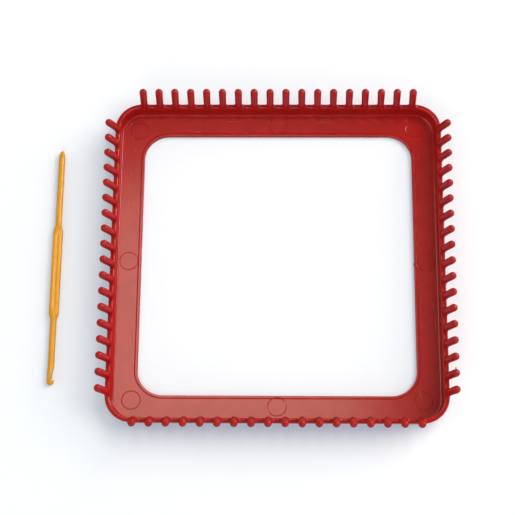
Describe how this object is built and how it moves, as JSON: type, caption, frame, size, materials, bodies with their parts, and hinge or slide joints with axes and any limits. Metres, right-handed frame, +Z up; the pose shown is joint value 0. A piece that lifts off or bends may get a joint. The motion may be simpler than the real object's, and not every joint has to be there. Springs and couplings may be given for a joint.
{
  "type": "potholder loom",
  "caption": "Square plastic peg loom: a shallow open tray with a row of round pegs leaning out on each side, and its loose double-ended hook lying beside it.",
  "frame": {"origin": "middle of the loom's window, level with the flat underside that rests on the table", "axes": "+X to the loom's right, +Y away from the weaver, +Z up; the loose hook lies along Y on the loom's left"},
  "size_m": [0.2212, 0.192, 0.0224],
  "materials": {
    "loom_plastic": "injection moulded, glossy red",
    "hook_plastic": "injection moulded, glossy yellow-orange"
  },
  "bodies": {
    "loom": {"floor_ring": "loom_plastic", "window_lip": "loom_plastic", "front_wall": "loom_plastic", "back_wall": "loom_plastic", "left_wall": "loom_plastic", "right_wall": "loom_plastic", "front_left_corner": "loom_plastic", "front_right_corner": "loom_plastic", "back_left_corner": "loom_plastic", "back_right_corner": "loom_plastic", "front_pegs": "loom_plastic", "back_pegs": "loom_plastic", "left_pegs": "loom_plastic", "right_pegs": "loom_plastic"},
    "hook": {"hook_head": "hook_plastic", "hook_grip": "hook_plastic", "hook_point": "hook_plastic"}
  },
  "joints": [
    {"name": "hook_lift", "type": "slide", "parent": "loom", "child": "hook", "axis": [0, 0, 1], "range_m": [0, 0.06]}
  ]
}
